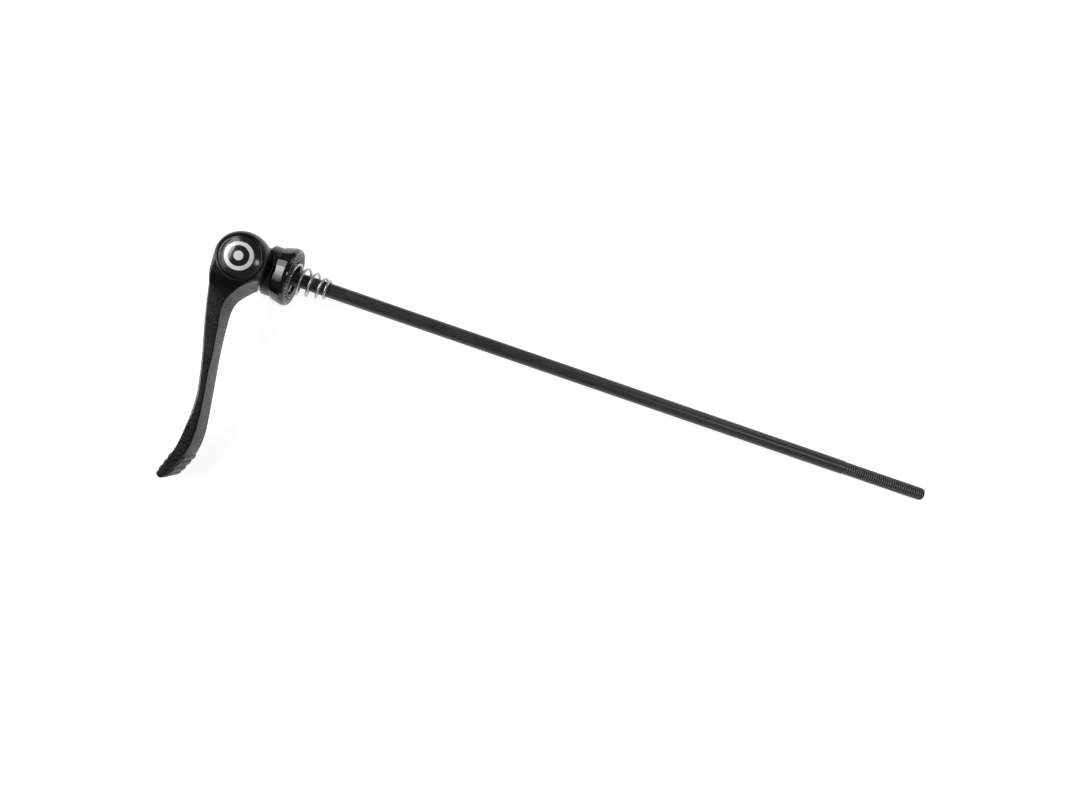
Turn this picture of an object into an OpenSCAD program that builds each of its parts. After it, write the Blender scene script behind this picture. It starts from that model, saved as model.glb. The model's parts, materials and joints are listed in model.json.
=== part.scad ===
// Quick release skewer for a bicycle hub: an internal cam, a bent lever, a cup with a
// toothed clamp ring, a conical spring and a long rod with a bare thread at its end.
// Every piece is drawn in the skewer's own frame, and the whole is then laid down:
// the rod runs along +X from the clamp face, the lever turns about the Z direction and
// hangs towards -Y, open. The origin is the middle of the clamp face.

/* [Rod] */
// Diameter of the rod's shank
rod_d = 5; // [4.5:0.1:5.2]
// Reach of the rod's tip beyond the clamp face
rod_reach = 237.4; // [120:0.2:260]
// Length of the threaded end
thread_len = 32.2; // [15:0.5:45]
// Diameter of the plain cylinder that stands for the thread
thread_d = 4.66; // [4.3:0.02:4.68]
// Chamfer at the rod's tip
tip_chamfer = 0.8; // [0.3:0.1:1.2]
// Thickness of the rod's eye along the pivot
eye_thick = 4.6; // [3.6:0.1:5]
// Wall of the eye at its ends
eye_wall = 1.3; // [0.9:0.05:1.5]
// Length of the taper from the eye to the shank
eye_taper = 2; // [1:0.1:3]

/* [Cam] */
// Offset of the cam from the pivot, half of the rod's draw
cam_throw = 1.1; // [0.8:0.05:1.2]
// Radius of the cam inside the eye
cam_r = 2.6; // [2.3:0.05:2.7]
// Radius of the shaft's front journal
front_journal_r = 3.8; // [3.75:0.05:4.2]
// Radius of the shaft's rear journal
rear_journal_r = 2.25; // [2.05:0.05:2.4]
// Radius of the stud that takes the nut
stud_r = 1.9; // [1.6:0.05:2]
// Side of the square that turns the shaft with the lever
square_side = 6.4; // [5.6:0.1:7]
// Play of every part that turns in another
running_gap = 0.05; // [0.03:0.01:0.09]

/* [Housing] */
// Distance from the clamp face back to the lever's pivot
pivot_back = 15.25; // [15:0.05:18]
// Radius of the barrel round the pivot
barrel_r = 8.2; // [7.4:0.1:8.3]
// Height of the barrel's front end above the rod's axis
barrel_front = 6; // [5.6:0.1:6.4]
// Depth of the barrel's rear end below the rod's axis
barrel_rear = 7; // [6:0.1:7.2]
// Radius of the collar behind the cup
collar_r = 8.5; // [8:0.1:8.6]
// Length of the collar
collar_len = 4.55; // [3.5:0.05:4.7]
// Chamfer on the collar's far edge
collar_chamfer = 1.2; // [0.5:0.1:1.4]
// Radius of the body between barrel and collar
waist_r = 7.2; // [6.5:0.1:7.6]
// Radius of the bore that the rod's eye passes through
eye_bore_r = 5.1; // [5.05:0.05:5.3]
// Half height of the chamber that holds the eye
chamber_half = 2.75; // [2.7:0.05:3]
// Radius of the cross bore that takes the front bush
cross_bore_r = 5.85; // [5.7:0.05:6.2]
// Radius of the spigot that carries the cup and the toothed ring
spigot_r = 6.9; // [6.6:0.1:7.1]

/* [Cup] */
// Length of the cup
cup_len = 5.1; // [4.7:0.05:6]
// Largest radius of the cup
cup_r = 10.05; // [9.8:0.05:11]
// Radius of the cup at its back edge
cup_back_r = 9.2; // [9:0.05:9.6]
// Distance of the largest radius from the clamp face
cup_belly = 1.7; // [1.2:0.1:2.2]
// Radius of the cup's flat front rim
cup_rim_r = 9.3; // [9.2:0.05:9.6]

/* [Toothed ring] */
// Outer radius of the toothed ring
ring_r = 8.9; // [8.6:0.05:9.1]
// Inner radius of the toothed ring
ring_bore_r = 5.76; // [5.6:0.02:6]
// Thickness of the ring below its teeth
ring_thick = 2.4; // [1.8:0.1:3]
// Height of a tooth
tooth_h = 0.5; // [0.3:0.05:0.8]
// Number of teeth round the ring
tooth_count = 40; // [24:2:56]
// Number of rows of teeth
tooth_rows = 3; // [2:1:4]

/* [Spring] */
// Diameter of the spring's wire
wire_d = 0.86; // [0.7:0.02:0.9]
// Depth of the spring's seat below the clamp face
spring_seat = 3.4; // [3:0.1:3.8]
// Length of the spring beyond the clamp face
spring_reach = 12.15; // [9:0.05:16]
// Number of open coils
open_coils = 4; // [3:0.5:5]
// Part of a turn at which a coil reaches its top
coil_phase = 0.79; // [0:0.01:1]
// Play between the last coil and the rod
coil_gap = 0.09; // [0.07:0.01:0.3]
// Fullness of the cone, where 1 is straight
cone_bulge = 1.45; // [1:0.05:1.8]

/* [Lever] */
// Distance from the pivot to the lever's tip
lever_len = 74.8; // [55:0.2:85]
// Radius of the lever's round head
head_r = 8.9; // [8.5:0.05:9.2]
// Height of the head's front above the rod's axis
head_front = 13.2; // [12.6:0.1:13.4]
// Width of the rounding round the head
head_round = 2.3; // [1:0.1:2.3]
// Height of the rounding round the head
head_fall = 5.2; // [2:0.1:6]
// Height of the neck's front next to the head
neck_front = 12.1; // [11.8:0.1:12.4]
// Height of the arm's narrow front face
arm_front = 11.2; // [10.8:0.1:11.6]
// Height of the arm's narrow rear face
arm_rear = 1.9; // [1.5:0.1:4]
// Height of the paddle's rear face
paddle_rear = 0.7; // [0.5:0.1:2]
// Bevel along the arm's front edges
arm_bevel = 0.35; // [0.2:0.05:0.5]
// Bevel along the paddle's front edges
paddle_bevel = 0.8; // [0.5:0.05:1]
// Widening of the arm's root towards its rear, on the hub's side
root_flare = 2.1; // [0:0.1:2.2]
// Rounding along the arm's rear edges
rear_round = 0.9; // [0.5:0.05:1.1]
// Number of ridges across the paddle
ridge_count = 4; // [2:1:5]
// Distance from one ridge to the next
ridge_pitch = 2.25; // [1.8:0.05:2.6]
// Height of a ridge
ridge_h = 0.45; // [0.2:0.05:0.6]
// Play between the arm's scooped root and the housing
swing_gap = 0.25; // [0.15:0.05:0.5]

/* [Cap] */
// Radius of the domed cap in the lever's head
cap_r = 6.6; // [6.2:0.1:6.7]
// Depth of the cap's seat below the head's front
cap_seat = 1.2; // [1:0.1:1.5]
// Height of the cap's edge above its seat
cap_edge = 1.1; // [0.9:0.1:1.4]
// Rise of the dome above the cap's edge
cap_dome = 1.2; // [0.8:0.1:1.6]

/* [Fasteners and washers] */
// Radius of the screw's head under the cap
screw_head_r = 3.6; // [3.3:0.1:4]
// Height of the screw's head
screw_head_h = 0.7; // [0.5:0.1:0.9]
// Radius of the screw's shank
screw_r = 1.5; // [1.2:0.1:1.7]
// Length of the screw's shank
screw_len = 6.5; // [4:0.1:7]
// Thickness of the friction washer under the lever's head
friction_thick = 0.15; // [0.1:0.01:0.18]
// Height of the gap between barrel and lever head
head_gap = 0.2; // [0.2:0.01:0.3]
// Outer radius of the friction washer
friction_r = 7.6; // [6.5:0.1:7.8]
// Wall of the rear bush
rear_bush_wall = 0.7; // [0.6:0.05:0.9]
// Radius of the rear washer
rear_washer_r = 4.2; // [3.8:0.1:4.4]
// Thickness of the rear washer
rear_washer_thick = 0.5; // [0.4:0.05:0.6]
// Width of the rear nut across its flats
nut_flats = 7; // [6:0.1:7.4]
// Height of the rear nut
nut_h = 1.8; // [1.4:0.1:1.9]

/* [Hidden] */
$fn = 96;
eps = 0.01;

// Lengths that follow from the sizes above.
rod_r = rod_d / 2;
head_rear = barrel_front + head_gap;
seat_z = head_front - cap_seat;
square_top = seat_z - screw_head_h;
eye_x = cam_throw - pivot_back;
eye_turn_r = eye_bore_r - 0.15;
pull_slack = 0.211 * cam_throw + 2 * running_gap;
slot_r = cam_r + pull_slack;
slot_shift = cam_throw + running_gap - pull_slack;
eye_r = slot_r + eye_wall;
front_bush_r = front_journal_r + running_gap;
rear_bore_r = rear_journal_r + running_gap;
rear_seat_r = rear_bore_r + rear_bush_wall;
washer_z = -barrel_rear - 2 * running_gap;
nut_z = washer_z - rear_washer_thick;
pocket_r = head_r + 0.3;
cup_back = -cup_len;
collar_back = cup_back - collar_len;
ledge_x = -spring_seat;
rim_seat_r = ring_r;

// Plan of the arm: [share of the lever's length, distance from the pivot's line]. The far
// side is the one turned away from the hub when the lever is open.
far_side = [[0.0211, -8.74], [0.122, -7.25], [0.272, -4.9], [0.47, -1.2], [0.6, 0.7], [0.665, 1.02],
    [0.73, 1], [0.84, 0.3], [0.9, -0.85], [0.965, -2.45], [1, -3.2]];
near_side = [[0.0211, 8.4], [0.05, 7.95], [0.073, 7.05], [0.0856, 6], [0.107, 4.25], [0.139, 2],
    [0.1885, -0.15], [0.234, -0.6], [0.302, 0.05], [0.457, 1.8], [0.611, 3.6], [0.717, 4.65],
    [0.77, 4.95], [0.826, 4.85], [0.886, 4], [0.95, 2.1], [1, 0.4]];
front_line = [[0, neck_front], [0.115, neck_front], [0.175, arm_front], [1, arm_front]];
rear_line = [[0, arm_rear], [0.66, arm_rear], [0.84, paddle_rear], [1, paddle_rear]];
bevel_line = [[0, head_round], [0.045, 0.7 * head_round], [0.1, 1.6 * arm_bevel], [0.15, arm_bevel],
    [0.2, arm_bevel], [0.62, arm_bevel], [0.74, paddle_bevel], [1, paddle_bevel]];
flare_line = [[0, 0], [0.06, 0], [0.085, 0.45 * root_flare], [0.11, root_flare], [0.19, 0.65 * root_flare],
    [0.3, 0.25 * root_flare], [0.45, 0], [1, 0]];

// Smooth curve through the points [share, value] of a list, read at one share.
function slope(p, i) =
    let (a = p[max(i - 1, 0)], b = p[min(i + 1, len(p) - 1)]) (b[1] - a[1]) / (b[0] - a[0]);
function bend(p, i, s) =
    let (
        w = p[i + 1][0] - p[i][0],
        t = (s - p[i][0]) / w,
        t2 = t * t,
        t3 = t2 * t
    )
    (2 * t3 - 3 * t2 + 1) * p[i][1] + (t3 - 2 * t2 + t) * w * slope(p, i)
    + (3 * t2 - 2 * t3) * p[i + 1][1] + (t3 - t2) * w * slope(p, i + 1);
function curve(p, s, i = 0) =
    i == len(p) - 2 || s <= p[i + 1][0] ? bend(p, i, s) : curve(p, s, i + 1);

// Ridges: round bumps with sharp valleys, the last of which forms the tip.
tip_trim = 0.1;
tip_rise = 1.2;
tip_len = ridge_pitch - tip_trim;
tip_share = 1 - tip_len / lever_len;
ridge_start = lever_len + tip_trim - ridge_count * ridge_pitch;
function ridge(s) =
    let (run = (s * lever_len - ridge_start) / ridge_pitch)
    run < 0 || run > ridge_count ? 0 : ridge_h * sqrt(abs(sin(180 * run)));

// One section of the arm across its length, a ring of 12 points. closing goes from 0
// at the full section to 90 at the very tip.
function arm_ring(s, closing = 0) =
    let (
        share = min(s, 1),
        grow = cos(closing),
        middle = (curve(far_side, share) + curve(near_side, share)) / 2,
        half = grow * (curve(near_side, share) - curve(far_side, share)) / 2,
        bevel = min(curve(bevel_line, share), 0.6 * half),
        bump = grow * ridge(s),
        flare = curve(flare_line, share),
        soft = min(rear_round, 0.8 * half),
        top = curve(front_line, share) - (1 - grow) * 0.6,
        bottom = curve(rear_line, share) + (1 - grow) * tip_rise,
        side = [
            [half - bevel, top],
            [half, top - 1.2 * bevel],
            [half + bump, top - 1.2 * bevel - 0.25],
            [half + bump, bottom + soft],
            [half + bump - 0.3 * soft, bottom + 0.3 * soft],
            [half - soft, bottom]
        ]
    )
    concat(
        [for (q = side) [middle - q[0], -s * lever_len, q[1]]],
        [for (k = [len(side) - 1:-1:0])
            [middle + side[k][0] + (k > 2 ? flare : 0), -s * lever_len, side[k][1]]]
    );

root_share = far_side[0][0];
arm_steps = 28;
ridge_steps = 7;
ridge_rings = (ridge_count - 1) * ridge_steps;
plain_end = ridge_start / lever_len;
arm_shares = concat(
    [for (i = [0:arm_steps - 1]) root_share + (plain_end - root_share) * i / arm_steps],
    [for (i = [0:ridge_rings - 1]) plain_end + (tip_share - plain_end) * i / ridge_rings]
);
tip_angles = [0, 12, 25, 38, 51, 64, 76, 85];
arm_rings = concat(
    [for (s = arm_shares) arm_ring(s)],
    [for (a = tip_angles) arm_ring(tip_share + (1 - tip_share) * sin(a), a)]
);

// Triangles between the rings of a sweep, closed at both ends.
function sweep_faces(rings, sides) = concat(
    [[for (k = [0:sides - 1]) k]],
    [for (r = [0:rings - 2]) for (k = [0:sides - 1]) for (half = [0, 1])
        let (a = r * sides + k, b = r * sides + (k + 1) % sides)
        half == 0 ? [a, a + sides, b] : [b, a + sides, b + sides]],
    [[for (k = [sides - 1:-1:0]) (rings - 1) * sides + k]]
);

// The three points that the skewer lies on are the cup's rim, the rod's tip and the
// paddle's rear edge. Pitch and roll bring all three down to the ground.
tip_touch = rod_reach - tip_chamfer;
pitch = atan((cup_r - thread_d / 2) / (tip_touch + cup_belly));
function touch_roll(q) =
    let (
        drop = cup_r + tan(pitch) * (pivot_back - cup_belly - q[0]),
        out = norm([q[1], q[2]])
    )
    out < 2 * drop ? 90 : asin(drop / out) + atan2(q[2], -q[1]);
roll = min([for (ring = arm_rings) for (q = ring) touch_roll(q)]);

module lay_down() {
    rotate([roll, pitch, 0]) children();
}

// A turned piece along +X, from a profile of [place along X, radius] points.
module turned(profile) {
    rotate([90, 0, 90]) rotate_extrude() polygon([for (q = profile) [q[1], q[0]]]);
}

module rod_axis(from, to, r) {
    translate([from, 0, 0]) rotate([0, 90, 0]) cylinder(h = to - from, r = r);
}

module at_pivot() {
    translate([-pivot_back, 0, 0]) children();
}

module pin(from, to, r) {
    translate([0, 0, from]) cylinder(h = to - from, r = r);
}

module bush(from, to, r, bore) {
    difference() {
        pin(from, to, r);
        pin(from - 1, to + 1, bore);
    }
}

// Lever
module lever_head() {
    rotate_extrude() difference() {
        union() {
            square_2d(0, head_rear, head_r, head_front - head_fall);
            square_2d(0, head_rear, head_r - head_round, head_front);
            translate([head_r - head_round, head_front - head_fall]) scale([1, head_fall / head_round])
                circle(r = head_round);
        }
        translate([-2 * head_r, 0]) square([2 * head_r, 2 * head_front]);
        square_2d(-1, -1, head_r + 1, head_rear);
        square_2d(-1, seat_z, cap_r + running_gap, head_front + 1);
    }
}

module square_2d(x0, y0, x1, y1) {
    translate([x0, y0]) square([x1 - x0, y1 - y0]);
}

// The arm's root is scooped out round the collar and the barrel, which it swings over.
module lever_arm() {
    difference() {
        polyhedron(
            points = [for (ring = arm_rings) for (q = ring) q],
            faces = sweep_faces(len(arm_rings), len(arm_rings[0])),
            convexity = 6
        );
        rod_axis(-2 * head_r, 2 * head_r, collar_r + swing_gap);
        pin(0, head_rear, barrel_r + swing_gap);
        pin(seat_z, head_front + 1, cap_r + running_gap);
    }
}

module lever() {
    color("#242628") lay_down() at_pivot() difference() {
        union() {
            lever_head();
            lever_arm();
        }
        translate([0, 0, head_rear + (square_top - head_rear) / 2])
            cube([square_side, square_side, square_top - head_rear + 2 * eps], center = true);
        pin(square_top - eps, seat_z + eps, screw_head_r);
    }
}

module lever_cap() {
    dome_r = (cap_r * cap_r + cap_dome * cap_dome) / (2 * cap_dome);
    color("#17181a") lay_down() at_pivot() intersection() {
        pin(seat_z, head_front + cap_dome, cap_r);
        translate([0, 0, seat_z + cap_edge + cap_dome - dome_r]) sphere(r = dome_r, $fn = 180);
    }
}

module lever_screw() {
    color("#8a8d90") lay_down() at_pivot() difference() {
        union() {
            pin(square_top, seat_z, screw_head_r);
            pin(square_top - screw_len, square_top + eps, screw_r);
        }
        pin(seat_z - 0.5 * screw_head_h, seat_z + 1, 1.2, $fn = 6);
    }
}

// Cam shaft: the square in the lever, the front journal, the cam, the rear journal and the stud.
module cam_shaft() {
    color("#9b9ea2") lay_down() at_pivot() difference() {
        union() {
            translate([0, 0, (head_rear + square_top) / 2])
                cube([square_side, square_side, square_top - head_rear], center = true);
            pin(chamber_half - running_gap, head_rear, front_journal_r);
            translate([cam_throw, 0, 0]) pin(-chamber_half + running_gap, chamber_half, cam_r);
            pin(washer_z, -chamber_half + 2 * running_gap, rear_journal_r);
            pin(nut_z - nut_h, washer_z + eps, stud_r);
        }
        pin(square_top - screw_len, square_top + 1, screw_r);
    }
}

module friction_washer() {
    color("#d9d7d0") lay_down() at_pivot()
        bush(barrel_front, barrel_front + friction_thick, friction_r, front_journal_r + 4 * running_gap);
}

module front_bush() {
    color("#b08d4a") lay_down() at_pivot()
        bush(chamber_half, barrel_front, cross_bore_r, front_bush_r);
}

module rear_bush() {
    color("#b08d4a") lay_down() at_pivot()
        bush(-barrel_rear, -chamber_half, rear_seat_r, rear_bore_r);
}

module rear_washer() {
    color("#8a8d90") lay_down() at_pivot() bush(nut_z, washer_z, rear_washer_r, stud_r);
}

module cam_nut() {
    color("#8a8d90") lay_down() at_pivot() difference() {
        translate([0, 0, nut_z - nut_h]) cylinder(h = nut_h, r = nut_flats / 2 / cos(30), $fn = 6);
        pin(nut_z - nut_h - 1, nut_z + 1, stud_r);
    }
}

// Housing: barrel, waist, collar and spigot, bored through for the rod and across for the cam.
module housing() {
    color("#1d1e20") lay_down() difference() {
        union() {
            at_pivot() pin(-barrel_rear, barrel_front, barrel_r);
            rod_axis(-pivot_back, collar_back + eps, waist_r);
            turned([
                [collar_back, 0],
                [collar_back, collar_r - collar_chamfer],
                [collar_back + collar_chamfer, collar_r],
                [cup_back - 0.3, collar_r],
                [cup_back, collar_r - 0.3],
                [cup_back, spigot_r],
                [-ring_thick, spigot_r],
                [-ring_thick, 0]
            ]);
        }
        at_pivot() {
            pin(barrel_front, 2 * collar_r, pocket_r);
            pin(-2 * collar_r, -barrel_rear, pocket_r);
            pin(-chamber_half, barrel_front + 1, cross_bore_r);
            pin(-barrel_rear - 1, 0, rear_seat_r);
        }
        rod_axis(-pivot_back, 0, eye_bore_r);
        rod_axis(ledge_x, 0, ring_bore_r);
    }
}

// Cup: a turned shell round the spigot, which holds the toothed ring in its front.
module cup() {
    belly = cup_r - cup_back_r;
    steps = 8;
    color("#0f0f10") lay_down() turned(concat(
        [
            [cup_back, spigot_r],
            [cup_back, cup_back_r - 0.3]
        ],
        [for (i = [0:steps])
            let (t = i / steps)
            [cup_back + 0.25 + t * (cup_len - cup_belly - 0.25), cup_back_r + belly * sin(90 * t)]],
        [for (i = [1:steps])
            let (a = 90 * i / steps)
            [-cup_belly * (1 - sin(a)), cup_rim_r + (cup_r - cup_rim_r) * cos(a)]],
        [
            [0, rim_seat_r],
            [-ring_thick, rim_seat_r],
            [-ring_thick, spigot_r]
        ]
    ));
}

// Toothed ring: a grid of small pyramids on a flat ring, in rows round the axis.
module toothed_ring() {
    around = 2 * tooth_count;
    across = 2 * tooth_rows;
    root = -0.15;
    function ring_point(i, j, x) =
        let (a = 360 * i / around, r = ring_bore_r + (ring_r - ring_bore_r) * j / across)
        [x, r * cos(a), r * sin(a)];
    function face_x(i, j) = i % 2 == 1 && j % 2 == 1 ? root + tooth_h : root;
    rows = across + 3;
    points = [for (i = [0:around - 1]) for (j = [0:rows - 1])
        j <= across ? ring_point(i, j, face_x(i, j))
            : ring_point(i, j == across + 1 ? across : 0, -ring_thick)];
    // Each cell's diagonal runs through its tooth's point.
    faces = [for (i = [0:around - 1]) for (j = [0:rows - 1]) for (half = [0, 1])
        let (
            a = i * rows + j,
            b = i * rows + (j + 1) % rows,
            c = ((i + 1) % around) * rows + j,
            d = ((i + 1) % around) * rows + (j + 1) % rows,
            turn = (i + j) % 2 == 0
        )
        turn ? (half == 0 ? [a, d, b] : [a, c, d]) : (half == 0 ? [a, c, b] : [b, c, d])];
    color("#6f7275") lay_down() polyhedron(points = points, faces = faces, convexity = 8);
}

// Conical spring, wound left-handed: a seated coil in the cup, open coils, a closed last coil.
module conical_spring() {
    wire_r = wire_d / 2;
    sides = 8;
    steps = 24;
    big_r = ring_bore_r - wire_r - 0.06;
    small_r = rod_r + wire_r + coil_gap;
    from = ledge_x + wire_r + 0.02;
    to = spring_reach - wire_r;
    seated = 1.1 * wire_d;
    pitch_open = (to - from - 2 * seated) / open_coils;
    turns = open_coils + 2;
    function along(t) =
        t < 1 ? from + seated * t
        : t > turns - 1 ? to - seated * (turns - t)
        : from + seated + pitch_open * (t - 1);
    function coil_r(x) =
        let (share = (x - from) / (to - from))
        small_r + (big_r - small_r) * (1 - pow(share, cone_bulge));
    rings = turns * steps;
    color("#c4c7ca") lay_down() polyhedron(
        points = [for (i = [0:rings])
            let (
                t = i / steps,
                x = along(t),
                r = coil_r(x),
                a = -360 * (t - coil_phase)
            )
            for (k = [0:sides - 1])
            let (w = 360 * k / sides, out = r + wire_r * cos(w))
            [x + wire_r * sin(w), out * cos(a), out * sin(a)]],
        faces = sweep_faces(rings + 1, sides),
        convexity = 12
    );
}

// Rod: the eye round the cam, a taper, the shank and the threaded end.
module eye_plan(r) {
    for (s = [-1, 1]) translate([0, s * slot_shift]) circle(r = r);
    translate([-r, -slot_shift]) square([2 * r, 2 * slot_shift]);
}

module skewer_rod() {
    eye_end = eye_x + eye_r;
    color("#34363a") lay_down() difference() {
        union() {
            intersection() {
                translate([eye_x, 0, -eye_thick / 2]) linear_extrude(eye_thick) eye_plan(eye_r);
                rod_axis(eye_x - 2 * eye_r, eye_end + 1, eye_turn_r);
            }
            intersection() {
                turned([
                    [eye_end - 1, 0],
                    [eye_end - 1, rod_r + 1.2],
                    [eye_end - 0.2, rod_r + 1.2],
                    [eye_end - 0.2 + eye_taper, rod_r],
                    [eye_end + eye_taper + 1, rod_r],
                    [eye_end + eye_taper + 1, 0]
                ]);
                translate([eye_x, -eye_r, -eye_thick / 2])
                    cube([2 * eye_r + eye_taper + 2, 2 * eye_r, eye_thick]);
            }
            turned([
                [eye_end - 0.5, 0],
                [eye_end - 0.5, rod_r],
                [rod_reach - thread_len - 0.3, rod_r],
                [rod_reach - thread_len, thread_d / 2],
                [rod_reach - tip_chamfer, thread_d / 2],
                [rod_reach, thread_d / 2 - tip_chamfer],
                [rod_reach, 0]
            ]);
        }
        translate([eye_x, 0, -eye_thick]) linear_extrude(2 * eye_thick) eye_plan(slot_r);
    }
}

lever();
lever_cap();
lever_screw();
cam_shaft();
friction_washer();
front_bush();
housing();
rear_bush();
rear_washer();
cam_nut();
cup();
toothed_ring();
conical_spring();
skewer_rod();
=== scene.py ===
"""Quick release skewer: looks, light and camera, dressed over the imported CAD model."""
import json
from math import ceil, cos, pi, radians, sin, sqrt

import bmesh
import bpy
from mathutils import Matrix, Vector


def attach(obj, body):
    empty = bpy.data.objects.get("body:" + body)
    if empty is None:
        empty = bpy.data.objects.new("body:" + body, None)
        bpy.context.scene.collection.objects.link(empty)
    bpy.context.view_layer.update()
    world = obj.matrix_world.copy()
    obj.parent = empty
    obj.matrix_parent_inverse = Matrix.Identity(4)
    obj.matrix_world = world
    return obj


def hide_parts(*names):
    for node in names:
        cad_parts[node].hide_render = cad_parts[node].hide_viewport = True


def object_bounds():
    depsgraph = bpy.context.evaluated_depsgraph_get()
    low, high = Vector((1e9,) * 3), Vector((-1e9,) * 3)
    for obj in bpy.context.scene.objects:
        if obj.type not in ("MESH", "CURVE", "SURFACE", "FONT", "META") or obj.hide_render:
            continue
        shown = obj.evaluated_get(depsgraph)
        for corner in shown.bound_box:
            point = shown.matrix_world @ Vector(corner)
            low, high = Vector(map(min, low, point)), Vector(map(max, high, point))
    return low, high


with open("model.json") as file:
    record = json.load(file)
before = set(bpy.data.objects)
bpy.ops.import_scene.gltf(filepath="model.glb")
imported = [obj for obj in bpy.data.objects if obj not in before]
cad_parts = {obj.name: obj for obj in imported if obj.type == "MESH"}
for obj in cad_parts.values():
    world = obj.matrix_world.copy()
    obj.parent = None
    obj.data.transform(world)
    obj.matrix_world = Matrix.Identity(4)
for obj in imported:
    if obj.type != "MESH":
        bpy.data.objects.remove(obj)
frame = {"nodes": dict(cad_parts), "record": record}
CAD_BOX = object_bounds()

# The skewer's own axes, read from the frame. Lengths below are millimetres in these axes:
# X along the rod from the clamp face to the thread, Z along the lever's pivot.
MM = 0.001
mounts = {m["name"]: m for m in frame["record"]["mounts"]}
joints = {j["name"]: j for j in frame["record"]["behaviour"]["joints"]}
ORIGIN = Vector(mounts["clamp_face"]["pos_m"])
ALONG = Vector(mounts["clamp_face"]["axis"]).normalized()
UP = -Vector(joints["lever_hinge"]["axis"]).normalized()
ACROSS = UP.cross(ALONG)
PIVOT = Vector(joints["lever_hinge"]["pos_m"])
PIVOT_X = (PIVOT - ORIGIN).dot(ALONG) / MM


def placement(x_axis, y_axis, z_axis, place):
    """The matrix that gives an object its three axes and its place."""
    rows = [(x_axis[i], y_axis[i], z_axis[i], place[i]) for i in range(3)]
    return Matrix((*rows, (0, 0, 0, 1)))


def in_frame(direction):
    """A direction given in the skewer's axes, as a unit vector of the frame."""
    along, across, up = direction
    return (ALONG * along + ACROSS * across + UP * up).normalized()


TO_FRAME = placement(ALONG * MM, ACROSS * MM, UP * MM, ORIGIN)

# Sizes of the pieces that are drawn again here. Most are the CAD source's. The reach of the rod and
# lever and the cup's radius are a hair less, so that these pieces stay inside the CAD's box, and the
# neck and the cap are shaped closer to the photo.
ROD_R, ROD_REACH, THREAD_LEN, THREAD_R, TIP_CHAMFER = 2.5, 237.39, 32.2, 2.33, 0.8
THREAD_PITCH, THREAD_DEPTH, CREST_RISE = 0.87, 0.50, 0.10
LEVER_LEN, HEAD_R, HEAD_REAR, HEAD_FRONT = 74.79, 8.9, 6.2, 13.2
HEAD_ROUND, HEAD_FALL, NECK_FRONT = 2.3, 5.2, 12.7
ARM_FRONT, ARM_REAR, PADDLE_REAR = 11.2, 1.9, 0.7
ARM_BEVEL, REAR_ROUND, ROOT_FLARE = 0.35, 0.9, 2.1
RIDGE_COUNT, RIDGE_PITCH, RIDGE_H = 4, 2.25, 0.45
SWING_R, BARREL_CLEAR_R = 8.62, 8.45
CAP_R, CAP_SEAT, CAP_EDGE, CAP_DOME = 6.6, 1.2, 0.7, 1.6
GAP = 0.05
CUP_LEN, CUP_R, CUP_BACK_R, CUP_BELLY, CUP_RIM_R = 5.1, 10.03, 9.2, 1.7, 9.3
SPIGOT_R, RING_R, RING_BORE_R, RING_THICK = 6.9, 8.9, 5.76, 2.4
WIRE_R, SPRING_SEAT, SPRING_REACH, OPEN_COILS = 0.43, 3.4, 12.15, 4
COIL_PHASE, COIL_GAP, CONE_BULGE = 0.79, 0.09, 1.45

# Mesh helpers, with the weld distance in metres and the steps of a full turn
WELD_GAP = 1e-7
TURNED_STEPS, CUP_STEPS = 160, 192


def add_object(name, data):
    obj = bpy.data.objects.new(name, data)
    bpy.context.scene.collection.objects.link(obj)
    return obj


def new_object(name, verts, faces):
    """A mesh object from points in the skewer's axes, with its faces turned outwards."""
    mesh = bpy.data.meshes.new(name)
    mesh.from_pydata([TO_FRAME @ Vector(v) for v in verts], [], faces)
    mesh.validate()
    bm = bmesh.new()
    bm.from_mesh(mesh)
    bmesh.ops.recalc_face_normals(bm, faces=bm.faces)
    bm.to_mesh(mesh)
    bm.free()
    return add_object(name, mesh)


def smooth(obj, sharp_angle):
    mesh = obj.data
    mesh.polygons.foreach_set("use_smooth", [True] * len(mesh.polygons))
    mesh.set_sharp_from_angle(angle=radians(sharp_angle))
    return obj


def dress(obj, body, material, node):
    """Gives a new piece its material and its CAD body, and hides the CAD node that it stands for."""
    obj.data.materials.clear()
    obj.data.materials.append(material)
    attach(obj, body)
    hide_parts(node)


def tube_faces(rings, sides):
    """Faces of a tube of rings that is closed at both ends."""
    faces = []
    for r in range(rings - 1):
        for k in range(sides):
            a, b = r * sides + k, r * sides + (k + 1) % sides
            faces.append((a, b, b + sides, a + sides))
    faces.append(tuple(range(sides - 1, -1, -1)))
    faces.append(tuple((rings - 1) * sides + k for k in range(sides)))
    return faces


def lathe(profile, steps, about_pivot=False):
    """A closed profile of (place along the axis, radius) turned round the rod or the pivot."""
    verts = []
    for i in range(steps):
        a = 2 * pi * i / steps
        for along, r in profile:
            if about_pivot:
                verts.append((PIVOT_X + r * cos(a), r * sin(a), along))
            else:
                verts.append((along, r * cos(a), r * sin(a)))
    n = len(profile)
    on_axis = 1e-6
    faces = []
    for i in range(steps):
        j = (i + 1) % steps
        for k in range(n):
            m = (k + 1) % n
            if profile[k][1] < on_axis and profile[m][1] < on_axis:
                continue
            faces.append((i * n + k, j * n + k, j * n + m, i * n + m))
    return verts, faces


def weld(obj):
    bm = bmesh.new()
    bm.from_mesh(obj.data)
    bmesh.ops.remove_doubles(bm, verts=bm.verts, dist=WELD_GAP)
    bmesh.ops.dissolve_degenerate(bm, edges=bm.edges, dist=WELD_GAP)
    bmesh.ops.recalc_face_normals(bm, faces=bm.faces)
    bm.to_mesh(obj.data)
    bm.free()
    return obj


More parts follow.
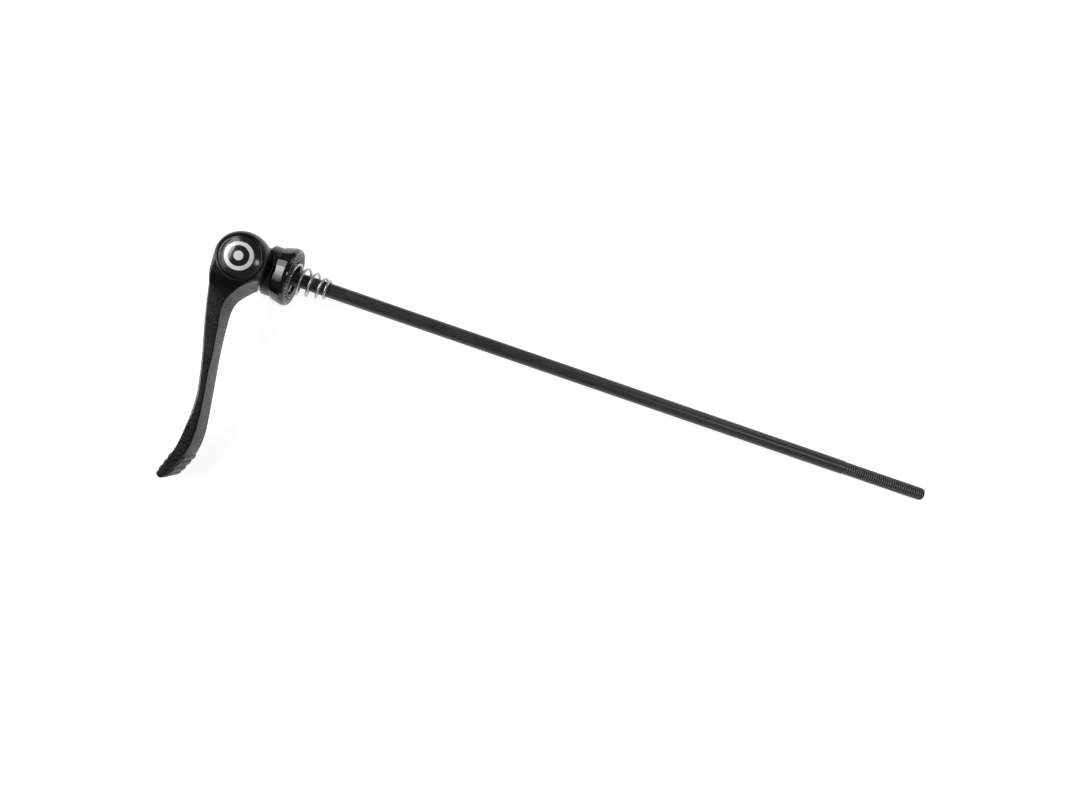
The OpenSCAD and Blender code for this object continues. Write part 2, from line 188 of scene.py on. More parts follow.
def boolean(obj, tool, operation):
    """Applies an exact boolean and removes the tool."""
    mod = obj.modifiers.new("cut", "BOOLEAN")
    mod.operation, mod.solver, mod.object = operation, "EXACT", tool
    graph = bpy.context.evaluated_depsgraph_get()
    mesh = bpy.data.meshes.new_from_object(obj.evaluated_get(graph))
    obj.modifiers.clear()
    obj.data = mesh
    bpy.data.objects.remove(tool)


def fillet(corners):
    """Rounds each corner (x, z, tangent length) of a closed outline with a short curve."""
    n, steps, longest = len(corners), 4, 0.45
    points = []
    for i, (x, z, size) in enumerate(corners):
        here = Vector((x, z))
        before, after = (Vector(corners[(i + d) % n][:2]) for d in (-1, 1))
        enter = here + (before - here).normalized() * min(size, longest * (before - here).length)
        leave = here + (after - here).normalized() * min(size, longest * (after - here).length)
        for k in range(steps + 1):
            t = k / steps
            points.append((1 - t) ** 2 * enter + 2 * t * (1 - t) * here + t * t * leave)
    return points


# Materials
class Nodes:
    """A material's node tree with short helpers; coordinates are the object's, in metres."""

    def __init__(self, name):
        self.material = bpy.data.materials.new(name)
        self.material.use_nodes = True
        self.tree = self.material.node_tree
        self.shader = self.tree.nodes["Principled BSDF"]
        self.place = self.add("ShaderNodeTexCoord").outputs["Object"]

    def add(self, kind, **values):
        node = self.tree.nodes.new(kind)
        for key, value in values.items():
            setattr(node, key, value)
        return node

    def link(self, a, b):
        self.tree.links.new(a, b)

    def set(self, **values):
        """Numbers and colours that are the same all over the surface."""
        for key, value in values.items():
            self.shader.inputs[key.replace("_", " ")].default_value = value

    def vary(self, **sources):
        """Values that change over the surface."""
        for key, source in sources.items():
            self.link(source, self.shader.inputs[key.replace("_", " ")])

    def stretched(self, scale):
        mapping = self.add("ShaderNodeMapping")
        mapping.inputs["Scale"].default_value = scale
        self.link(self.place, mapping.inputs["Vector"])
        return mapping.outputs["Vector"]

    def noise(self, scale, detail=3, rough=0.6, vector=None):
        """Noise with about scale spots to the metre."""
        node = self.add("ShaderNodeTexNoise")
        node.inputs["Scale"].default_value = scale
        node.inputs["Detail"].default_value = detail
        node.inputs["Roughness"].default_value = rough
        self.link(vector or self.place, node.inputs["Vector"])
        return node.outputs["Fac"]

    def spread(self, value, low, high, from_low=0.3, from_high=0.7):
        """Brings a value, most often the middle range of a noise, to run from low to high."""
        node = self.add("ShaderNodeMapRange")
        ends = {"From Min": from_low, "From Max": from_high, "To Min": low, "To Max": high}
        for key, number in ends.items():
            node.inputs[key].default_value = number
        self.link(value, node.inputs["Value"])
        return node.outputs["Result"]

    def blend(self, value, dark, light):
        node = self.add("ShaderNodeMix", data_type="RGBA")
        node.inputs["A"].default_value = (*dark, 1)
        node.inputs["B"].default_value = (*light, 1)
        self.link(value, node.inputs["Factor"])
        return node.outputs["Result"]

    def mix(self, value, a, b, kind="RGBA"):
        node = self.add("ShaderNodeMix", data_type=kind)
        self.link(value, node.inputs["Factor"])
        self.link(a, node.inputs["A"])
        self.link(b, node.inputs["B"])
        return node.outputs["Result"]

    def both(self, a, b):
        node = self.add("ShaderNodeMath", operation="MULTIPLY")
        self.link(a, node.inputs[0])
        self.link(b, node.inputs[1])
        return node.outputs[0]

    def from_axis(self, point, direction, reach):
        """Distance from an axis, as a share of reach in millimetres."""
        offset = self.add("ShaderNodeVectorMath", operation="SUBTRACT")
        offset.inputs[1].default_value = point
        self.link(self.place, offset.inputs[0])
        turn = self.add("ShaderNodeVectorMath", operation="CROSS_PRODUCT")
        turn.inputs[1].default_value = direction
        self.link(offset.outputs[0], turn.inputs[0])
        length = self.add("ShaderNodeVectorMath", operation="LENGTH")
        self.link(turn.outputs[0], length.inputs[0])
        return self.spread(length.outputs["Value"], 0, 1, 0, reach * MM)

    def ramp(self, value, marks, reach, interpolation="LINEAR"):
        """Grey levels at given distances; value and marks share one reach."""
        node = self.add("ShaderNodeValToRGB")
        node.color_ramp.interpolation = interpolation
        while len(node.color_ramp.elements) < len(marks):
            node.color_ramp.elements.new(0.5)
        for element, (distance, level) in zip(node.color_ramp.elements, marks):
            element.position = distance / reach
            element.color = (level, level, level, 1)
        self.link(value, node.inputs["Fac"])
        return node.outputs["Color"]

    def facing(self, direction, from_low, from_high):
        """1 where the surface faces a direction given in the skewer's axes."""
        node = self.add("ShaderNodeVectorMath", operation="DOT_PRODUCT")
        node.inputs[1].default_value = in_frame(direction)
        self.link(self.add("ShaderNodeTexCoord").outputs["Normal"], node.inputs[0])
        return self.spread(node.outputs["Value"], 0, 1, from_low, from_high)

    def bump(self, value, depth):
        node = self.add("ShaderNodeBump")
        node.inputs["Distance"].default_value = depth * MM
        node.inputs["Strength"].default_value = 1
        self.link(value, node.inputs["Height"])
        self.vary(Normal=node.outputs["Normal"])


def anodised_metal():
    """Black anodised aluminium: fine blasted speckle, soft cloudy variation in gloss."""
    grain = 0.12
    n = Nodes("housing_alloy")
    fine = n.noise(1 / (grain * MM), detail=2, rough=0.7)
    n.vary(Base_Color=n.blend(n.spread(fine, 0, 1), (0.007, 0.0072, 0.0076), (0.018, 0.0184, 0.019)),
           Roughness=n.spread(n.noise(220, detail=4), 0.252, 0.3136))
    n.bump(fine, 0.002)
    return n.material


def cup_lacquer():
    """Polished black lacquer with faint wiping marks and a trace of orange peel."""
    n = Nodes("cup_gloss")
    marks = n.noise(120, detail=6, rough=0.75, vector=n.stretched((1, 6, 1)))
    n.vary(Base_Color=n.blend(n.noise(900), (0.003, 0.003, 0.0032), (0.0045, 0.0045, 0.0048)),
           Roughness=n.spread(marks, 0.045, 0.099, 0.45, 0.75))
    n.bump(n.noise(500, detail=1), 0.0015)
    n.set(Coat_Weight=0.3, Coat_Roughness=0.03)
    return n.material


def spring_wire_metal():
    """Bright wire with a fine even grain."""
    n = Nodes("spring_steel")
    grain = n.noise(1, detail=4, rough=0.65, vector=n.stretched((900, 900, 900)))
    n.vary(Base_Color=n.blend(n.spread(grain, 0, 1), (0.42, 0.425, 0.435), (0.58, 0.585, 0.595)),
           Roughness=n.spread(grain, 0.24, 0.375))
    n.bump(grain, 0.0006)
    n.set(Metallic=1.0)
    return n.material


def speckled(name, dark, light, rough, grain=0.2, metallic=1.0):
    """A worked surface with a fine speckle; grain in millimetres."""
    n = Nodes(name)
    fine = n.noise(1 / (grain * MM))
    n.vary(Base_Color=n.blend(n.spread(fine, 0, 1), dark, light),
           Roughness=n.spread(n.noise(600), 0.8 * rough, 1.25 * rough))
    n.bump(fine, 0.004)
    n.set(Metallic=metallic)
    return n.material


def cap_lacquer():
    """Glossy cap with a plain pale ring and dot in the place of its badge."""
    dot_r, ring_inner_r, ring_outer_r, reach = 1.5, 3.35, 4.6, 10
    n = Nodes("cap_gloss")
    marks = ((0, 1), (dot_r, 0), (ring_inner_r, 1), (ring_outer_r, 0))
    badge = n.ramp(n.from_axis(PIVOT, UP, reach), marks, reach, "CONSTANT")
    pale = n.blend(n.noise(700), (0.70, 0.71, 0.72), (0.78, 0.79, 0.80))
    black = n.blend(n.noise(900), (0.010, 0.010, 0.011), (0.016, 0.016, 0.017))
    n.vary(Base_Color=n.mix(badge, black, pale), Roughness=n.spread(n.noise(150, detail=5), 0.14, 0.22))
    n.bump(n.noise(450, detail=1), 0.0015)
    n.set(Coat_Weight=0.35, Coat_Roughness=0.10)
    return n.material


def lever_metal():
    """Black aluminium: satin head, mottled blasted arm, smooth bevels along the arm's two edges, and painted
    shade on the near bevel, which is coloured near-black.
    """
    far_bevel_faces, painted_shade_bevel_faces = (-0.485, -0.10, 0.866), (0.76, 0.08, 0.64)
    grain, reach = 0.42, 20
    head_end, arm_start = 12, 16
    n = Nodes("lever_alloy")
    fine = n.noise(1 / (grain * MM), detail=2, rough=0.7)
    arm = n.ramp(n.from_axis(PIVOT, UP, reach), ((0, 0), (head_end, 0), (arm_start, 1)), reach)
    far = n.both(arm, n.facing(far_bevel_faces, 0.965, 0.98))
    # Mask of the near bevel, from faces turned towards this direction: where it is 1 the colour is
    # near-black painted shade.
    near = n.both(arm, n.facing(painted_shade_bevel_faces, 0.92, 0.96))

    mottle = n.blend(n.spread(fine, 0, 1, 0.36, 0.64), (0.0015, 0.0015, 0.0016), (0.016, 0.0163, 0.017))
    dark = n.blend(fine, (0.001, 0.001, 0.001), (0.004, 0.004, 0.0041))
    mottled_gloss = n.spread(fine, 0.10, 0.55, 0.36, 0.64)
    even_gloss = n.spread(fine, 0.22, 0.38)
    cloudy = n.noise(220, detail=4)
    satin = n.spread(cloudy, 0.22, 0.28)
    blasted = n.spread(cloudy, 0.36, 0.46)
    milled = n.spread(n.noise(700), 0.11, 0.16)
    faces = n.mix(far, n.mix(arm, satin, blasted, "FLOAT"), milled, "FLOAT")
    # The near bevel takes the near-black colour as painted shade.
    n.vary(Base_Color=n.mix(near, n.mix(arm, dark, mottle), dark),
           Specular_IOR_Level=n.mix(arm, even_gloss, mottled_gloss, "FLOAT"),
           Roughness=n.mix(near, faces, milled, "FLOAT"))
    n.bump(fine, 0.03)
    return n.material


def rod_metal():
    """Dark drawn steel with streaks along it; on the thread, a painted highlight on the crests over painted
    shade in the roots and flanks.
    """
    n = Nodes("rod_steel")
    lines = n.noise(1, detail=4, rough=0.7, vector=n.stretched((110, 1500, 1500)))
    drawn = n.blend(n.spread(lines, 0, 1), (0.020, 0.0204, 0.0212), (0.056, 0.057, 0.059))
    end_face_r, root_r, flank_r, crest_r, reach = 1.78, 1.86, 2.05, 2.38, 4
    radius = n.from_axis(ORIGIN, ALONG, reach)
    # Painted light on the thread: the crests are lighter as a painted highlight, and the roots and flanks
    # are near-black as painted shade.
    crest_highlight_root_shade = ((0, 0.35), (end_face_r, 0.35), (root_r, 0), (flank_r, 0), (crest_r, 1))
    cut = n.blend(n.ramp(radius, crest_highlight_root_shade, reach), (0.003, 0.003, 0.0032), (0.13, 0.132, 0.136))
    shank = n.ramp(radius, ((0, 0), (ROD_R - 0.03, 1)), reach, "CONSTANT")
    n.vary(Base_Color=n.mix(shank, cut, drawn), Roughness=n.spread(lines, 0.26, 0.42))
    n.bump(lines, 0.004)
    n.set(Metallic=0.15)
    return n.material


# Lever: the arm's smooth loft joined to the domed head

# Values at shares of the way from the pivot to the arm's tip: where the two sides lie across the arm,
# the heights of front and rear, the bevels, the ridged side's lean and the flare of the rear edge.
FAR_SIDE = [(0.0211, -8.74), (0.122, -7.25), (0.272, -4.9), (0.47, -1.2), (0.6, 0.7), (0.665, 1.02),
            (0.73, 1), (0.84, 0.3), (0.9, -0.85), (0.965, -2.45), (1, -3.2)]
NEAR_SIDE = [(0.0211, 8.4), (0.05, 7.95), (0.073, 7.05), (0.0856, 6), (0.107, 4.25), (0.139, 2),
             (0.1885, -0.15), (0.234, -0.6), (0.302, 0.05), (0.457, 1.8), (0.611, 3.6), (0.717, 4.65),
             (0.77, 4.95), (0.826, 4.85), (0.886, 4), (0.95, 2.1), (1, 0.4)]
FRONT_LINE = [(0, NECK_FRONT), (0.09, NECK_FRONT), (0.105, NECK_FRONT - 0.2), (0.149, ARM_FRONT + 0.02),
              (0.155, ARM_FRONT - 0.06), (0.163, ARM_FRONT), (0.175, ARM_FRONT), (1, ARM_FRONT)]
REAR_LINE = [(0, ARM_REAR), (0.66, ARM_REAR), (0.84, PADDLE_REAR), (1, PADDLE_REAR)]
NEAR_BEVEL = [(0, HEAD_ROUND), (0.045, 0.7 * HEAD_ROUND), (0.1, 1.6 * ARM_BEVEL), (0.15, ARM_BEVEL),
              (0.4, ARM_BEVEL), (0.56, 0.4), (0.7, 0.5), (0.85, 0.62), (1, 0.62)]
FAR_BEVEL_WIDTH = [(0, HEAD_ROUND), (0.045, 0.7 * HEAD_ROUND), (0.1, 0.6), (0.16, 0.5), (0.5, 0.62),
                   (0.68, 0.72), (0.76, 0.3), (1, 0.3)]
FAR_BEVEL_DEPTH = [(0, 1.2 * HEAD_ROUND), (0.045, 0.84 * HEAD_ROUND), (0.1, 0.6), (0.16, 0.29), (0.5, 0.36),
                   (0.68, 0.42), (0.76, 0.17), (1, 0.17)]
NEAR_LEAN = [(0, 0), (0.42, 0), (0.55, 0.6), (0.68, 0.9), (0.94, 0.9), (1, 0.6)]
FLARE_LINE = [(0, 0), (0.06, 0), (0.085, 0.45 * ROOT_FLARE), (0.11, ROOT_FLARE), (0.19, 0.65 * ROOT_FLARE),
              (0.3, 0.25 * ROOT_FLARE), (0.45, 0), (1, 0)]
NEAR_BEVEL_STEEPNESS, EDGE_ROUND, RIDGE_DROP = 1.2, 0.14, 0.5
TIP_TRIM, TIP_RISE, TIP_FALL = 0.1, 1.2, 0.6
RIDGE_START = LEVER_LEN + TIP_TRIM - RIDGE_COUNT * RIDGE_PITCH
TIP_SHARE = 1 - (RIDGE_PITCH - TIP_TRIM) / LEVER_LEN


def curve(points, share):
    """Smooth curve through points of (share, value)."""
    i = 0
    while i < len(points) - 2 and share > points[i + 1][0]:
        i += 1

    def slope(k):
        a, b = points[max(k - 1, 0)], points[min(k + 1, len(points) - 1)]
        return (b[1] - a[1]) / (b[0] - a[0])

    width = points[i + 1][0] - points[i][0]
    t = (share - points[i][0]) / width
    return ((2 * t ** 3 - 3 * t ** 2 + 1) * points[i][1] + (t ** 3 - 2 * t ** 2 + t) * width * slope(i)
            + (3 * t ** 2 - 2 * t ** 3) * points[i + 1][1] + (t ** 3 - t ** 2) * width * slope(i + 1))


def ridge(share):
    run = (share * LEVER_LEN - RIDGE_START) / RIDGE_PITCH
    return 0 if run < 0 or run > RIDGE_COUNT else RIDGE_H * sqrt(abs(sin(pi * run)))


def arm_section(share, closing=0.0):
    """One rounded section across the arm; closing runs from 0 to 90 degrees at the tip."""
    s = min(share, 1)
    grow = cos(radians(closing))
    near, far = curve(NEAR_SIDE, s), curve(FAR_SIDE, s)
    middle, half = (near + far) / 2, grow * (near - far) / 2
    widest = 0.6 * half
    near_width = min(curve(NEAR_BEVEL, s), widest)
    far_width = min(curve(FAR_BEVEL_WIDTH, s), widest)
    far_depth = curve(FAR_BEVEL_DEPTH, s) * grow
    lean = min(curve(NEAR_LEAN, s), 0.3 * half)
    rear_round = min(REAR_ROUND, 0.8 * half)
    bump, flare = grow * ridge(s), curve(FLARE_LINE, s)
    top = curve(FRONT_LINE, s) - (1 - grow) * TIP_FALL
    bottom = curve(REAR_LINE, s) + (1 - grow) * TIP_RISE

    def side(width, depth, lean=0.0, flare=0.0):
        """Corners from the front face down one side: bevel, ridge and rear edge."""
        edge = half - lean
        low = top - depth
        return [(edge - width, top, EDGE_ROUND), (edge, low, EDGE_ROUND),
                (edge + bump, low - RIDGE_DROP, EDGE_ROUND), (half + bump + flare, bottom, rear_round)]

    corners = [(middle - x, z, r) for x, z, r in side(far_width, far_depth)]
    near_side = side(near_width, NEAR_BEVEL_STEEPNESS * near_width, lean, flare)
    corners += [(middle + x, z, r) for x, z, r in reversed(near_side)]
    return [(PIVOT_X + p.x, -share * LEVER_LEN, p.y) for p in fillet(corners)]


def arm_rings():
    """Sections from the root over the ridges to the tip, where they close to a point."""
    root = FAR_SIDE[0][0]
    plain, ridged, ending, last_angle = 130, 42, 18, 88
    ridge_share = RIDGE_START / LEVER_LEN
    rings = [arm_section(root + (ridge_share - root) * i / plain) for i in range(plain)]
    rings += [arm_section(ridge_share + (TIP_SHARE - ridge_share) * i / ridged) for i in range(ridged)]
    for i in range(ending):
        angle = last_angle * i / (ending - 1)
        rings.append(arm_section(TIP_SHARE + (1 - TIP_SHARE) * sin(radians(angle)), angle))
    return rings


def head_profile(seat):
    """The domed head's outline from its rear to the pocket that holds the cap."""
    edge, brink_drop, brink_in, pocket_bevel = 0.2, 0.02, 0.06, 0.3
    flat = HEAD_R - HEAD_ROUND
    rear = [(HEAD_REAR, 0), (HEAD_REAR, HEAD_R - edge), (HEAD_REAR + 0.3 * edge, HEAD_R - 0.3 * edge),
            (HEAD_REAR + edge, HEAD_R)]
    dome = [(HEAD_FRONT - HEAD_FALL + HEAD_FALL * sin(radians(a)), flat + HEAD_ROUND * cos(radians(a)))
            for a in range(0, 81, 4)]
    rim_z, rim_r = dome[-1]
    pocket_r = CAP_R + GAP
    pocket = [(rim_z - brink_drop, rim_r - brink_in), (rim_z - pocket_bevel, pocket_r), (seat, pocket_r),
              (seat, 0)]
    return rear + dome + pocket


def turned_tool(name, profile, about_pivot=False):
    return weld(new_object(name, *lathe(profile, TURNED_STEPS, about_pivot)))


def build_lever():
    """The arm, cut clear of collar, barrel and cap, and joined to the head."""
    rings = arm_rings()
    points = [p for ring in rings for p in ring]
    arm = new_object("lever_body", points, tube_faces(len(rings), len(rings[0])))
    seat = HEAD_FRONT - CAP_SEAT
    behind, beyond = -40, 2
    scoop = [(behind, 0), (behind, SWING_R), (beyond, SWING_R), (beyond, 0)]
    clear = [(0, 0), (0, BARREL_CLEAR_R), (HEAD_REAR, BARREL_CLEAR_R), (HEAD_REAR, 0)]
    pocket = [(seat, 0), (seat, CAP_R), (HEAD_FRONT + beyond, CAP_R), (HEAD_FRONT + beyond, 0)]
    boolean(arm, turned_tool("scoop", scoop), "DIFFERENCE")
    boolean(arm, turned_tool("clear", clear, about_pivot=True), "DIFFERENCE")
    boolean(arm, turned_tool("pocket", pocket, about_pivot=True), "DIFFERENCE")
    boolean(arm, turned_tool("head", head_profile(seat), about_pivot=True), "UNION")
    return smooth(arm, sharp_angle=28)


def build_cap():
    """Domed cap with a rolled edge."""
    seat = HEAD_FRONT - CAP_SEAT
    ball = (CAP_R ** 2 + CAP_DOME ** 2) / (2 * CAP_DOME)
    crown = seat + CAP_EDGE + CAP_DOME
    chamfer, edge = 0.1, 0.25
    dome_r = CAP_R - edge
    rim = sqrt(ball ** 2 - dome_r ** 2) - (ball - crown)
    profile = [(seat, 0), (seat, CAP_R - chamfer), (seat + chamfer, CAP_R), (rim - edge, CAP_R)]
    profile += [(rim - edge + edge * sin(radians(a)), dome_r + edge * cos(radians(a))) for a in (30, 55, 72)]
    steps = 40
    for i in range(steps + 1):
        r = dome_r * (1 - i / steps)
        profile.append((crown - ball + sqrt(ball ** 2 - r ** 2), r))
    cap = weld(new_object("cap_dome", *lathe(profile, TURNED_STEPS, about_pivot=True)))
    return smooth(cap, sharp_angle=40)


# Cup: the CAD profile with rolled edges, turned finely
def build_cup():
    back, steps, edge = -CUP_LEN, 20, 0.3
    flare_start, flatter_by, flatter_from = 0.25, 0.035, 0.8
    flare_len = CUP_LEN - CUP_BELLY - flare_start
    profile = [(back, SPIGOT_R), (back, CUP_BACK_R - edge)]
    for angle in (25, 50, 70):
        a = radians(angle)
        profile.append((back + edge * (1 - cos(a)), CUP_BACK_R - edge + edge * sin(a)))
    for i in range(steps + 1):
        t = i / steps
        rise = t - flatter_by * max(0, t - flatter_from) / (1 - flatter_from)
        profile.append((back + flare_start + t * flare_len, CUP_BACK_R + (CUP_R - CUP_BACK_R) * rise))
    for i in range(1, steps + 1):
        a = pi / 2 * i / steps
        profile.append((-CUP_BELLY * (1 - sin(a)), CUP_RIM_R + (CUP_R - CUP_RIM_R) * cos(a)))
    lip = CUP_RIM_R - RING_R
    lip_drop = 0.6 * lip
    for angle in (20, 40, 60, 80):
        a = radians(angle)
        profile.append((-lip_drop * (1 - cos(a)), CUP_RIM_R - lip * sin(a)))
    profile += [(-lip_drop, RING_R), (-RING_THICK, RING_R), (-RING_THICK, SPIGOT_R)]
    return smooth(new_object("cup_shell", *lathe(profile, CUP_STEPS)), sharp_angle=30)


# Conical spring: a round wire swept along the CAD's winding
def build_spring():
    sides, steps = 20, 72
    bore_gap, seat_gap = 0.06, 0.02
    big = RING_BORE_R - WIRE_R - bore_gap
    small = ROD_R + WIRE_R + COIL_GAP
    start = -SPRING_SEAT + WIRE_R + seat_gap
    end = SPRING_REACH - WIRE_R
    seated = 2.2 * WIRE_R
    pitch = (end - start - 2 * seated) / OPEN_COILS
    turns = OPEN_COILS + 2

    def along(t):
        if t < 1:
            return start + seated * t
        if t > turns - 1:
            return end - seated * (turns - t)
        return start + seated + pitch * (t - 1)

    verts = []
    rings = turns * steps
    for i in range(rings + 1):
        t = i / steps
        x = along(t)
        r = small + (big - small) * (1 - ((x - start) / (end - start)) ** CONE_BULGE)
        a = -2 * pi * (t - COIL_PHASE)
        for k in range(sides):
            w = 2 * pi * k / sides
            out = r + WIRE_R * cos(w)
            verts.append((x + WIRE_R * sin(w), out * cos(a), out * sin(a)))
    return smooth(new_object("spring_wire", verts, tube_faces(rings + 1, sides)), sharp_angle=50)


# Rod: the CAD's eye and shank, with a cut thread and a rounded tip in place of its plain end
ROD_SIDES, RINGS_PER_TURN = 64, 16
SHANK_RINGS = (15, 50, 100, 150, 195)
SHANK_END = ROD_REACH - THREAD_LEN - 0.5


def plain_rod():
    """The CAD's rod without its thread, with rings that keep the long shank's shading straight."""
    mesh = frame["nodes"]["skewer_rod"].data.copy()
    bm = bmesh.new()
    bm.from_mesh(mesh)
    bmesh.ops.remove_doubles(bm, verts=bm.verts, dist=WELD_GAP)
    for x in (*SHANK_RINGS, SHANK_END - 1, SHANK_END):
        geom = list(bm.verts) + list(bm.edges) + list(bm.faces)
        place = TO_FRAME @ Vector((x, 0, 0))
        bmesh.ops.bisect_plane(bm, geom=geom, plane_co=place, plane_no=ALONG, clear_outer=x == SHANK_END)
    bm.to_mesh(mesh)
    bm.free()
    return mesh


def thread_cut(turn_phase):
    """Depth below the crest of a V thread with a narrow flat crest and root, over one pitch."""
    edge = abs(turn_phase % 1 - 0.5) * 2
    crest, root = 0.14, 0.12
    return THREAD_DEPTH * min(max((edge - crest) / (1 - crest - root), 0), 1)


def threaded_end():
    """The shoulder, the thread with its run-in and the rounded tip, as one closed tube."""
    start, end, run_in, crest_slope = ROD_REACH - THREAD_LEN, ROD_REACH, 0.7, 0.03
    low_r = THREAD_R - 0.05
    # The shank's last ring, the shoulder's edge with its small break, and its foot
    places = [SHANK_END - 0.02, start - 0.28, start - 0.22, start - 0.02]
    rings = [[r] * ROD_SIDES for r in (ROD_R, ROD_R, ROD_R - 0.03, low_r)]
    count = ceil((end - start) / THREAD_PITCH * RINGS_PER_TURN)
    for i in range(count + 1):
        x = start + (end - start) * i / count
        entry = min(1, (x - start) / run_in)
        tip = max(0, (x - (end - TIP_CHAMFER)) / TIP_CHAMFER)
        cap = THREAD_R - 0.9 * TIP_CHAMFER * (1 - sqrt(max(0, 1 - tip * tip)))
        from_tip = max(0, end - TIP_CHAMFER - x)
        crest = THREAD_R + min(CREST_RISE, crest_slope * from_tip)
        crest = low_r + (crest - low_r) * entry
        cuts = [entry * thread_cut(x / THREAD_PITCH - k / ROD_SIDES) for k in range(ROD_SIDES)]
        places.append(x)
        rings.append([min(crest - cut, cap) for cut in cuts])
    verts = []
    for x, ring in zip(places, rings):
        for k, r in enumerate(ring):
            a = 2 * pi * k / ROD_SIDES
            verts.append((x, r * cos(a), r * sin(a)))
    return new_object("thread_part", verts, tube_faces(len(rings), ROD_SIDES))


def build_rod():
    mesh = plain_rod()
    thread = threaded_end()
    bm = bmesh.new()
    bm.from_mesh(mesh)
    bm.from_mesh(thread.data)
    bm.to_mesh(mesh)
    bm.free()
    bpy.data.objects.remove(thread)
    return smooth(add_object("rod_threaded", mesh), sharp_angle=20)


# Pieces drawn here, with the CAD nodes that they stand for
dress(build_lever(), "lever", lever_metal(), "lever")
dress(build_cap(), "lever", cap_lacquer(), "lever_cap")
dress(build_cup(), "housing", cup_lacquer(), "cup")
dress(build_spring(), "housing", spring_wire_metal(), "conical_spring")
dress(build_rod(), "rod", rod_metal(), "skewer_rod")

# CAD nodes that are shown as they are
fastener_steel = speckled("fastener_steel", (0.42, 0.43, 0.44), (0.55, 0.56, 0.57), 0.32)
bush_brass = speckled("bush_brass", (0.52, 0.38, 0.16), (0.68, 0.52, 0.26), 0.30)
SHOWN = {
    "housing": anodised_metal(),
    "toothed_ring": speckled("ring_steel", (0.035, 0.035, 0.037), (0.30, 0.30, 0.305), 0.18, 0.35),
    "front_bush": bush_brass,
    "rear_bush": bush_brass,
    "friction_washer": speckled("washer_nylon", (0.66, 0.65, 0.61), (0.78, 0.77, 0.72), 0.55, 0.3, 0.0),
    "lever_screw": fastener_steel,
    "cam_shaft": speckled("cam_steel", (0.40, 0.41, 0.42), (0.56, 0.57, 0.58), 0.24),
    "rear_washer": fastener_steel,
    "cam_nut": fastener_steel,
}
for node_name, material in SHOWN.items():
    node = frame["nodes"][node_name]
    if node.material_slots:
        for slot in node.material_slots:
            slot.material = material
    else:
        node.data.materials.append(material)


# Floor, light and camera
def seen_white(tree, strength):
    """A strength for what a camera, glossy or clear ray sees, and none for diffuse light."""
    path = tree.nodes.new("ShaderNodeLightPath")
    seen = path.outputs["Is Camera Ray"]
    for other in ("Is Glossy Ray", "Is Transmission Ray"):
        either = tree.nodes.new("ShaderNodeMath")
        either.operation = "MAXIMUM"
        tree.links.new(seen, either.inputs[0])
        tree.links.new(path.outputs[other], either.inputs[1])
        seen = either.outputs[0]
    level = tree.nodes.new("ShaderNodeMapRange")
    level.inputs["To Min"].default_value = 0
    level.inputs["To Max"].default_value = strength
    tree.links.new(seen, level.inputs["Value"])
    return level.outputs["Result"]


def pale_floor():
    """A wide plain floor under the part that looks white and still takes its shadow."""
    size, grey, seen_strength = 3.0, 0.50, 0.83
    z = CAD_BOX[0][2]
    corners = [(-size, -size, z), (size, -size, z), (size, size, z), (-size, size, z)]
    mesh = bpy.data.meshes.new("floor")
    mesh.from_pydata(corners, [], [(0, 1, 2, 3)])
    n = Nodes("floor_white")
    n.set(Base_Color=(grey, grey, grey, 1), Roughness=0.9, Specular_IOR_Level=0.1)
    lift = n.add("ShaderNodeEmission")
    lift.inputs["Color"].default_value = (1, 1, 1, 1)
    n.link(seen_white(n.tree, seen_strength), lift.inputs["Strength"])
    both = n.add("ShaderNodeAddShader")
    n.link(n.shader.outputs[0], both.inputs[0])
    n.link(lift.outputs[0], both.inputs[1])
    n.link(both.outputs[0], n.tree.nodes["Material Output"].inputs["Surface"])
    mesh.materials.append(n.material)
    floor = add_object("floor", mesh)


# The key light: overlapping panels at one place along the rod and one height above it, each with its
# bottom and top edge across the rod and its radiance. Lengths of the lights are metres.
KEY_ALONG, KEY_UP, KEY_WIDTH, PANEL_STEP = -0.427, 0.392, 0.22, 0.003
KEY_PANELS = ((-0.36, 0.464, 0.9), (-0.29, 0.464, 0.9), (-0.22, 0.464, 0.9), (-0.16, 0.464, 0.9),
              (-0.10, 0.22, 1.5), (-0.05, 0.20, 1.5), (0.04, 0.216, 3.0))
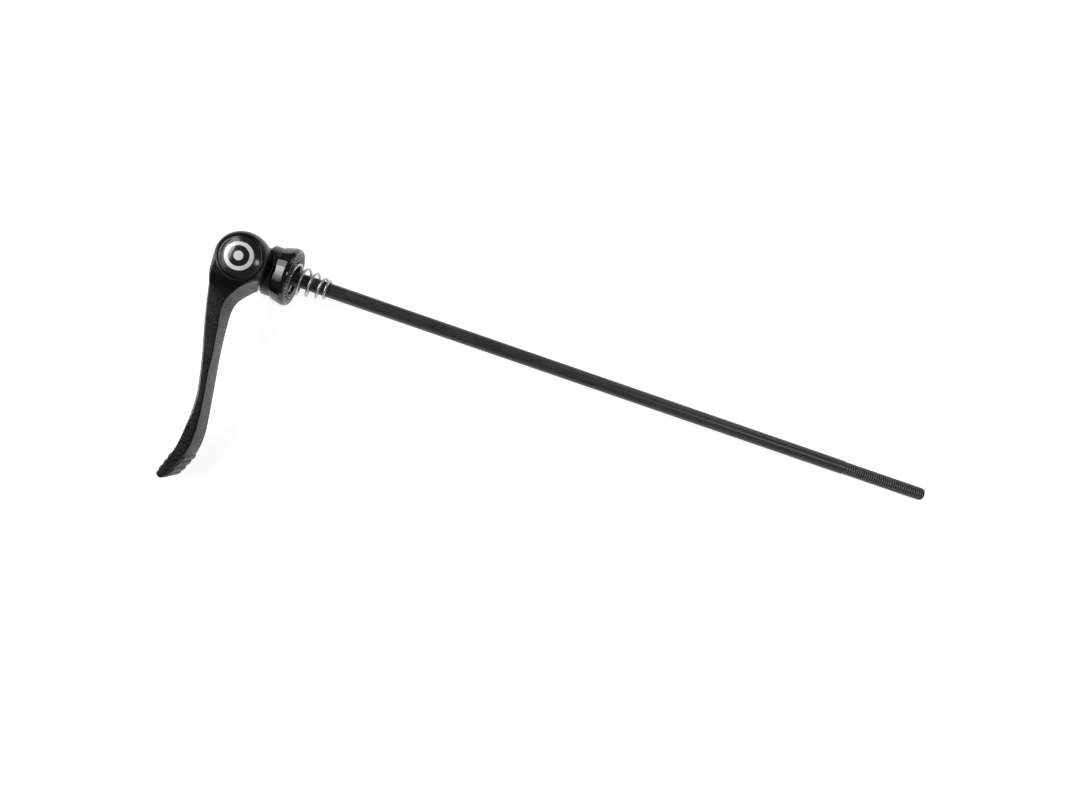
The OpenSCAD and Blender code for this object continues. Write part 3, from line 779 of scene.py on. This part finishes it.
# The other lights: direction from the clamp face, distance, width, height and radiance
SOFT_BOXES = {
    "side_box": ((0.55, -0.70, 0.45), 0.80, 0.50, 0.50, 0.4),
    "edge_box": ((-0.95, -0.27, 0.25), 0.60, 0.12, 0.34, 9.0),
    "rod_box": ((0.58, 0.06, 0.81), 0.90, 0.30, 0.16, 7.0),
    "top_fill": ((0.45, 0.82, 0.35), 0.90, 0.60, 0.40, 1.2),
}
WORLD_STRENGTH = 0.12


def soft_box(name, direction, distance, width, height, radiance):
    """An area light in a direction given in the skewer's axes, turned to the clamp face."""
    light = bpy.data.lights.new(name, "AREA")
    light.shape = "RECTANGLE"
    light.size, light.size_y = width, height
    light.energy = radiance * pi * width * height
    z = in_frame(direction)
    y = (ACROSS - z * ACROSS.dot(z)).normalized()
    obj = add_object(name, light)
    obj.matrix_world = placement(y.cross(z), y, z, ORIGIN + z * distance)
    obj.visible_camera = False


def studio_lights():
    for step, (bottom, top, radiance) in enumerate(KEY_PANELS):
        spot = Vector((KEY_ALONG, (bottom + top) / 2, KEY_UP))
        distance = spot.length - PANEL_STEP * step
        soft_box(f"key_box_{step}", spot, distance, KEY_WIDTH, top - bottom, radiance)
    for name, values in SOFT_BOXES.items():
        soft_box(name, *values)


def studio_world():
    world = bpy.data.worlds.new("studio")
    bpy.context.scene.world = world
    world.use_nodes = True
    back = world.node_tree.nodes["Background"]
    back.inputs["Color"].default_value = (1, 1, 1, 1)
    back.inputs["Strength"].default_value = WORLD_STRENGTH


# The photo's camera in the skewer's axes, in millimetres from the clamp face
CAMERA_AT = (62.15, -20.25, 263.94)
LOOK_ALONG = (0.1040, 0.0276, -0.9942)
TOP_OF_VIEW = (-0.3194, 0.9476, -0.0071)
LENS, SENSOR_WIDTH = 25.705, 36


def photo_camera():
    camera = bpy.data.cameras.new("photo_camera")
    camera.sensor_fit, camera.sensor_width, camera.lens = "HORIZONTAL", SENSOR_WIDTH, LENS
    camera.clip_start, camera.clip_end = 0.01, 20
    back = -in_frame(LOOK_ALONG)
    right = in_frame(TOP_OF_VIEW).cross(back).normalized()
    obj = add_object("photo_camera", camera)
    obj.matrix_world = placement(right, back.cross(right), back, TO_FRAME @ Vector(CAMERA_AT))
    bpy.context.scene.camera = obj


pale_floor()
studio_lights()
studio_world()
photo_camera()
bpy.context.scene.view_settings.view_transform = "Standard"
